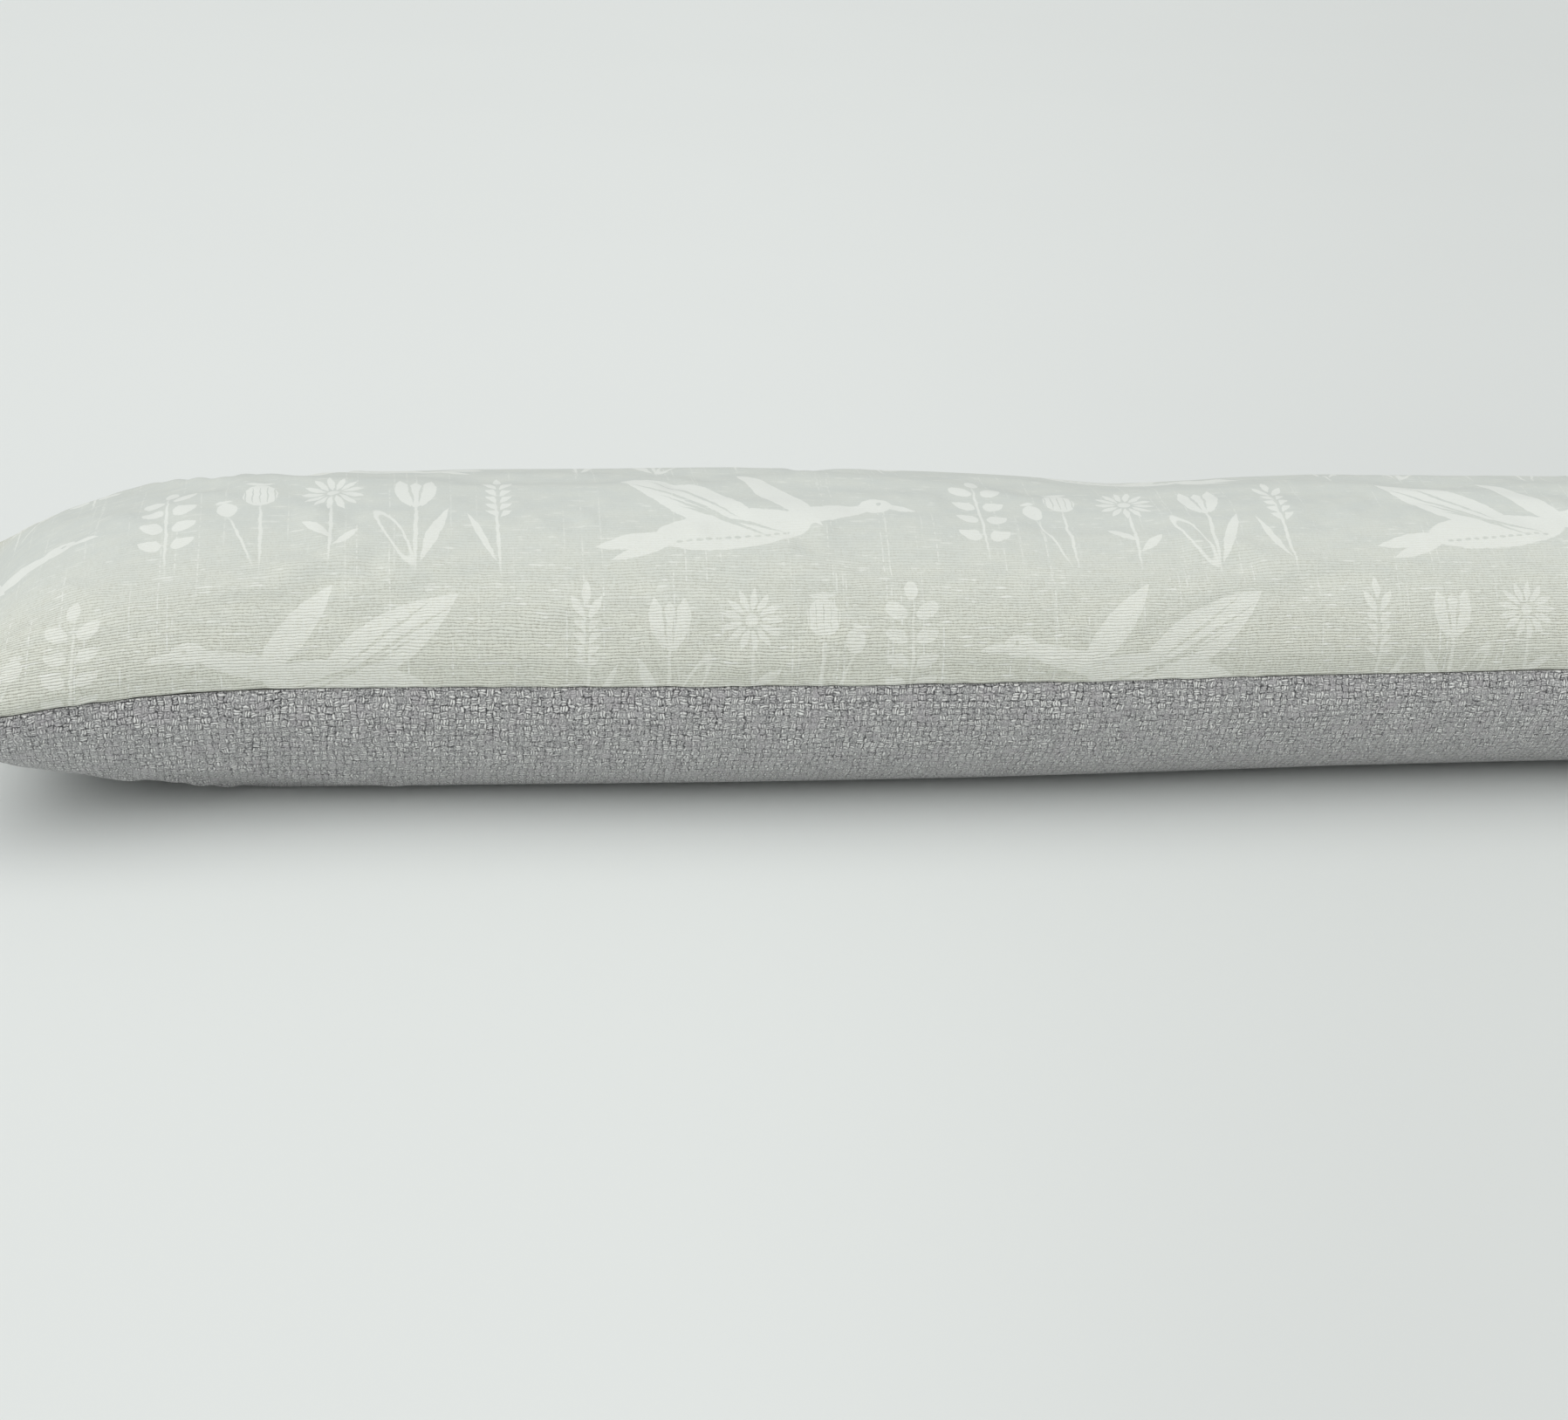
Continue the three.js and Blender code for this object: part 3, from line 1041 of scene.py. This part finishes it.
def stepped(value, pitch, first, last):
    """A value measured from the nearest of a row of equal steps."""
    step = (value / pitch + 0.5).floor().most(first).least(last)
    return value - step * pitch


def paired(tree, point, ladder, form):
    """A ladder of shapes in mirrored pairs up a stem."""
    x, y = split(tree, point)
    rung = stepped(y - ladder["y"], ladder["pitch"], 0, ladder["count"] - 1)
    return inside(tree, join(tree, abs(x), rung), {"form": form, **ladder["part"]})


def wheel(tree, point, petals, form):
    """Shapes set evenly round a centre."""
    x, y = split(tree, moved(tree, point, petals["x"], petals["y"]))
    around = y.maths("ARCTAN2", x)
    step = 2 * math.pi / petals["count"]
    turned = stepped(around, step, -petals["count"], petals["count"])
    radius = (x * x + y * y) ** 0.5
    local = join(tree, radius * turned.maths("COSINE"), radius * turned.maths("SINE"))
    return inside(tree, local, {"form": form, **petals["part"]})


def dotted(tree, point, dots):
    """A straight row of small ovals."""
    x, y = split(tree, moved(tree, point, dots["x"], dots["y"], dots["tilt"]))
    local = join(tree, stepped(x, dots["pitch"], dots["first"], dots["last"]), y)
    row = {"form": "oval", "x": 0.0, "y": 0.0, "long": dots["long"], "wide": dots["wide"], "tilt": 0}
    return inside(tree, local, row)


@functools.cache
def meadow_print():
    """Flying geese over rows of plants. Place is on the flat cloth, in metres."""
    tree, given, out = node_group("meadow print", {"Place": (0.0, 0.0, 0.0)}, ["Ink"])
    along, across = split(tree, given.outputs["Place"])
    waver = noise(tree, given.outputs["Place"], 330.0, detail=2.0, output="Color")
    waver_x, waver_y = split(tree, waver)
    x = along * MILLIMETRES + (waver_x - 0.5) * 1.3
    y = across * MILLIMETRES + (waver_y - 0.5) * 1.3

    column = (x / REPEAT["width"]).floor()
    odd = (column * 0.5).fraction() * 2.0
    mirror = odd * -2.0 + 1.0
    x = (x - (column + 0.5) * REPEAT["width"]) * mirror
    y = y - REPEAT["raised"] + odd * (REPEAT["height"] / 2)
    y = y - ((y / REPEAT["height"] + 0.5).floor()) * REPEAT["height"]
    point = join(tree, x, y)

    goose = drawn(tree, point, GOOSE)
    goose = goose.least(dotted(tree, point, GOOSE_DOTS) * -1.0)
    stands = {name: moved(tree, point, place, PLANT_FOOT) for name, place in PLANT_ROW.items()}
    wheat = drawn(tree, stands["wheat"], WHEAT).most(paired(tree, stands["wheat"], WHEAT_EAR, "leaf"))
    tulip = drawn(tree, stands["tulip"], TULIP)
    daisy = drawn(tree, stands["daisy"], DAISY).most(wheel(tree, stands["daisy"], DAISY_PETALS, "leaf"))
    poppy = drawn(tree, stands["poppy"], POPPY).least(dotted(tree, stands["poppy"], POPPY_STRIPES) * -1.0)
    sprig = drawn(tree, stands["sprig"], SPRIG).most(paired(tree, stands["sprig"], SPRIG_LEAVES, "oval"))
    shapes = goose.most(wheat).most(tulip).most(daisy).most(poppy).most(sprig)
    wear = noise(tree, join(tree, along * 900.0, across * 1500.0), 1.0, detail=3.0)
    ink = shapes.ramp(-0.12, 0.22) * wear.ramp(0.22, 0.45, 0.72, 1.0)
    feed(tree, out.inputs["Ink"], ink)
    return tree


def new_material(name):
    """A material with an empty node tree, its Principled shader and its output."""
    material = bpy.data.materials.new(name)
    material.use_nodes = True
    tree = material.node_tree
    tree.nodes.clear()
    shader = tree.nodes.new("ShaderNodeBsdfPrincipled")
    output = tree.nodes.new("ShaderNodeOutputMaterial")
    tree.links.new(shader.outputs["BSDF"], output.inputs["Surface"])
    return material, tree, shader


def mix_inputs(node):
    """The colour inputs of a Mix node, which share their names with its other kinds."""
    return [entry for entry in node.inputs if entry.type == "RGBA"]


def print_cloth(cloths):
    """Slub cotton and linen in pale grey-green, with an off-white print."""
    material, tree, shader = new_material("print_cloth")
    place = add_node(tree, "ShaderNodeUVMap", uv_map="flat_cloth").outputs["UV"]
    weave = place_group(tree, slub_rib_weave(), {"Place": place, "Rib Pitch": cloths.rib_pitch})
    height, shade, slub, tint = read_outputs(tree, weave, "Height", "Shade", "Slub", "Tint")

    printing = place_group(tree, meadow_print(), {"Place": place})
    ink = Field(tree, printing.outputs["Ink"])

    ground = tuple(cloths.ground)
    # Painted light: the ground is darker and cooler on the crown and lighter and warmer towards both seams,
    # as the light falls. The ink is shifted the same way.
    painted_crown_cool = scaled(ground, (0.82, 0.835, 0.84))
    painted_seam_warm = scaled(ground, (0.98, 0.965, 0.91))
    pale = scaled(ground, (1.17, 1.15, 1.15))
    # deep is the colour of the painted shade in the rib hollows
    deep = scaled(ground, (0.62, 0.595, 0.53))
    # A share that grows from the crown to both seams. It sets the painted warmth, the strength of the
    # painted shade in the rib hollows, how much the slubs show, and the bump's strength.
    from_middle = abs(split(tree, place)[1])
    seamward_light_and_relief = from_middle.ramp(0.015, 0.078, 0.12, 1.0)
    # Painted warm light towards the seams, plus the cloth's own tint, which differs at random
    tint_and_painted_warmth = (tint.ramp(0.30, 0.70) - 0.5) * 0.22 + seamward_light_and_relief
    ground_tint_and_light = colour_mix(tree, tint_and_painted_warmth.most(0.0).least(1.0), painted_crown_cool, painted_seam_warm)
    # Painted shade in the rib hollows, stronger towards the seams, on the ground and on the ink
    painted_hollow_shade = (shade.ramp(0.05, 0.75) * -1.0 + 1.0) * seamward_light_and_relief
    woven = colour_mix(tree, painted_hollow_shade, ground_tint_and_light, deep)
    slubbed = colour_mix(tree, slub * (seamward_light_and_relief * 0.65 + 0.18), woven, pale)
    # Painted light on the ink: cooler and darker on the crown, warmer towards the seams
    ink_painted_light = colour_mix(tree, seamward_light_and_relief, scaled(cloths.ink, (0.925, 0.94, 0.975)), tuple(cloths.ink))
    ink_shade = colour_mix(tree, painted_hollow_shade, ink_painted_light, scaled(cloths.ink, (0.84, 0.83, 0.78)))
    printed = colour_mix(tree, ink, slubbed, ink_shade)
    shader.inputs["Roughness"].default_value = 0.92
    shader.inputs["Specular IOR Level"].default_value = 0.22
    shader.inputs["Sheen Weight"].default_value = 0.08
    shader.inputs["Sheen Roughness"].default_value = 0.5
    tree.links.new(printed, shader.inputs["Base Color"])
    bump = add_node(tree, "ShaderNodeBump", {"Height": height, "Strength": seamward_light_and_relief, "Distance": 0.00032})
    tree.links.new(bump.outputs["Normal"], shader.inputs["Normal"])
    return material


def basket_cloth(cloths):
    """Heathered mid-grey basket weave."""
    material, tree, shader = new_material("basket_cloth")
    place = add_node(tree, "ShaderNodeUVMap", uv_map="flat_cloth").outputs["UV"]
    weave = place_group(tree, basket_weave(), {"Place": place, "Block": cloths.basket_pitch})
    height, yarn_tone_and_gleam, gap, heather = read_outputs(tree, weave, "Height", "Yarn and Gleam", "Gap", "Heather")
    grey = tuple(cloths.basket)
    dark = scaled(grey, (0.60, 0.60, 0.62))
    # light is the colour of the painted highlights on the strand tops and of the palest fibres
    light = scaled(grey, (1.85, 1.86, 1.83))
    mauve = scaled(grey, (1.04, 0.985, 1.04))
    hollow_shade = scaled(grey, (0.06, 0.06, 0.07))
    yarns_and_gleam = colour_mix(tree, yarn_tone_and_gleam.ramp(-0.05, 0.95), dark, light)
    heathered = colour_mix(tree, heather.ramp(0.45, 0.75, 0.0, 0.5), yarns_and_gleam, mauve)
    # Painted shade: the grey turns almost black in the gaps between the strands and in the holes
    woven = colour_mix(tree, gap, heathered, hollow_shade)
    shader.inputs["Roughness"].default_value = 0.95
    shader.inputs["Specular IOR Level"].default_value = 0.18
    shader.inputs["Sheen Weight"].default_value = 0.65
    shader.inputs["Sheen Roughness"].default_value = 0.5
    tree.links.new(woven, shader.inputs["Base Color"])
    bump = add_node(tree, "ShaderNodeBump", {"Height": height, "Strength": 1.0, "Distance": 0.0006})
    tree.links.new(bump.outputs["Normal"], shader.inputs["Normal"])
    return material


def scaled(colour, factors):
    """A colour with each of its parts multiplied, and none above 0.9."""
    return tuple(min(part * factor, 0.9) for part, factor in zip(colour, factors))


def colour_mix(tree, share, first, second):
    """A colour socket between two colours, each a socket or three numbers."""
    node = tree.nodes.new("ShaderNodeMix")
    node.data_type = "RGBA"
    feed(tree, node.inputs[0], share)
    for entry, colour in zip(mix_inputs(node), (first, second)):
        feed(tree, entry, (*colour, 1.0) if isinstance(colour, tuple) else colour)
    return next(socket for socket in node.outputs if socket.type == "RGBA")


def add_cover(name, node, side, roll, material):
    """Builds one panel's cover and ties it to the frame."""
    shape = bpy.context.scene.excluder_shape
    cover = piece(name, cover_mesh(name, shape, side, roll))
    cover.data.materials.append(material)
    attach(cover, "root")
    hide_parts(node)
    return cover


class EXCLUDER_OT_print_cover(bpy.types.Operator):
    """Makes the printed upper panel"""

    bl_idname = "excluder.print_cover"
    bl_label = "Printed cover"

    def execute(self, context):
        scene = context.scene
        material = print_cloth(scene.excluder_cloths)
        add_cover("print_cover", "print_panel", 1, scene.excluder_shape.print_roll, material)
        return {"FINISHED"}


class EXCLUDER_OT_base_cover(bpy.types.Operator):
    """Makes the basket-weave lower panel"""

    bl_idname = "excluder.base_cover"
    bl_label = "Basket-weave cover"

    def execute(self, context):
        scene = context.scene
        material = basket_cloth(scene.excluder_cloths)
        add_cover("base_cover", "base_panel", -1, scene.excluder_shape.base_roll, material)
        return {"FINISHED"}


# The stage: the surface's reach and its drop below the object, the lights and the viewpoint
FLOOR_REACH = 9.0
FLOOR_DROP = 0.0002
WINDOW_FROM = Vector((-0.34, -0.25, 0.90))
ROOM_FROM = Vector((-0.30, -1.00, 0.05))
ROOM_SPREAD = math.radians(110)
SKY_TINT = (0.985, 1.0, 1.0)
LAMP_TINT = (1.0, 0.995, 0.98)
CAMERA_PLACE = Vector((-0.3009, -0.7919, 0.3499))
CAMERA_YAW = math.radians(9.31)
CAMERA_PITCH = math.radians(22.55)
CAMERA_ROLL = math.radians(2.85)


def add_floor(stage):
    """A wide plain surface, with painted shade that makes it a little darker far away and, in a fan from the
    viewpoint, on the right.
    """
    bm = bmesh.new()
    bmesh.ops.create_grid(bm, x_segments=2, y_segments=2, size=FLOOR_REACH)
    bmesh.ops.translate(bm, vec=(0, 0, -FLOOR_DROP), verts=bm.verts)
    mesh = bpy.data.meshes.new("floor")
    bm.to_mesh(mesh)
    bm.free()
    material, tree, shader = new_material("floor_with_painted_falloff")
    place = add_node(tree, "ShaderNodeTexCoord").outputs["Object"]
    patches = noise(tree, place, 3.0, detail=2.0)
    colour = tuple(stage.floor_colour)
    x, y = split(tree, place)
    # Painted shade: the light's falloff far away and to the right, laid on the surface as darker colour
    to_right = (x - CAMERA_PLACE.x) / (y - CAMERA_PLACE.y).most(0.05)
    painted_falloff = to_right.ramp(0.10, 0.52, 0.0, 0.7) + y.ramp(0.2, 2.2, 0.0, 0.3)
    darker = scaled(colour, (0.87, 0.87, 0.87))
    tree.links.new(colour_mix(tree, patches * 0.15 + painted_falloff, colour, darker), shader.inputs["Base Color"])
    shader.inputs["Roughness"].default_value = 0.85
    shader.inputs["Specular IOR Level"].default_value = 0.25
    mesh.materials.append(material)
    piece("floor", mesh)


def add_light(stage):
    """A soft light from all round, a very wide one above, and a low one in front."""
    world = bpy.data.worlds.new("soft_light")
    world.use_nodes = True
    background = world.node_tree.nodes["Background"]
    background.inputs["Color"].default_value = (*SKY_TINT, 1.0)
    background.inputs["Strength"].default_value = stage.sky_strength
    bpy.context.scene.world = world
    lamps = (
        ("window", WINDOW_FROM, stage.window_strength, stage.window_spread),
        ("room", ROOM_FROM, stage.room_strength, ROOM_SPREAD),
    )
    for name, place, strength, spread in lamps:
        light = bpy.data.lights.new(name, "SUN")
        light.energy = strength
        light.angle = spread
        light.color = LAMP_TINT
        lamp = piece(name, light)
        lamp.matrix_world = place.to_track_quat("Z", "Y").to_matrix().to_4x4()


def add_camera(stage):
    """The photograph's viewpoint."""
    data = bpy.data.cameras.new("camera")
    data.sensor_fit = "HORIZONTAL"
    data.sensor_width = 36.0
    data.lens = stage.lens
    data.clip_start = 0.01
    data.clip_end = 50.0
    camera = piece("camera", data)
    turn = Matrix.Rotation(-CAMERA_YAW, 4, "Z")
    tip = Matrix.Rotation(math.pi / 2 - CAMERA_PITCH, 4, "X")
    lean = Matrix.Rotation(CAMERA_ROLL, 4, "Z")
    camera.matrix_world = Matrix.Translation(CAMERA_PLACE) @ turn @ tip @ lean
    bpy.context.scene.camera = camera


class EXCLUDER_OT_stage(bpy.types.Operator):
    """Makes the pale surface, the soft light and the camera"""

    bl_idname = "excluder.stage"
    bl_label = "Stage"

    def execute(self, context):
        stage = context.scene.excluder_stage
        add_floor(stage)
        add_light(stage)
        add_camera(stage)
        settings = context.scene.view_settings
        settings.view_transform = "Standard"
        settings.look = "None"
        return {"FINISHED"}


class EXCLUDER_PT_panel(bpy.types.Panel):
    """Lists the steps that build the draught excluder"""

    bl_label = "Draught excluder"
    bl_idname = "EXCLUDER_PT_panel"
    bl_space_type = "VIEW_3D"
    bl_region_type = "UI"
    bl_category = "Excluder"

    def draw(self, context):
        for operator in OPERATORS:
            self.layout.operator(operator.bl_idname)


OPERATORS = (EXCLUDER_OT_stage, EXCLUDER_OT_print_cover, EXCLUDER_OT_base_cover)
CLASSES = (ExcluderShape, ExcluderCloths, ExcluderStage, *OPERATORS, EXCLUDER_PT_panel)


def register():
    for one in CLASSES:
        bpy.utils.register_class(one)
    bpy.types.Scene.excluder_shape = bpy.props.PointerProperty(type=ExcluderShape)
    bpy.types.Scene.excluder_cloths = bpy.props.PointerProperty(type=ExcluderCloths)
    bpy.types.Scene.excluder_stage = bpy.props.PointerProperty(type=ExcluderStage)


def unregister():
    del bpy.types.Scene.excluder_stage
    del bpy.types.Scene.excluder_cloths
    del bpy.types.Scene.excluder_shape
    for one in reversed(CLASSES):
        bpy.utils.unregister_class(one)


def main():
    register()
    bpy.ops.excluder.stage()
    bpy.ops.excluder.print_cover()
    bpy.ops.excluder.base_cover()


if __name__ == "__main__":
    main()
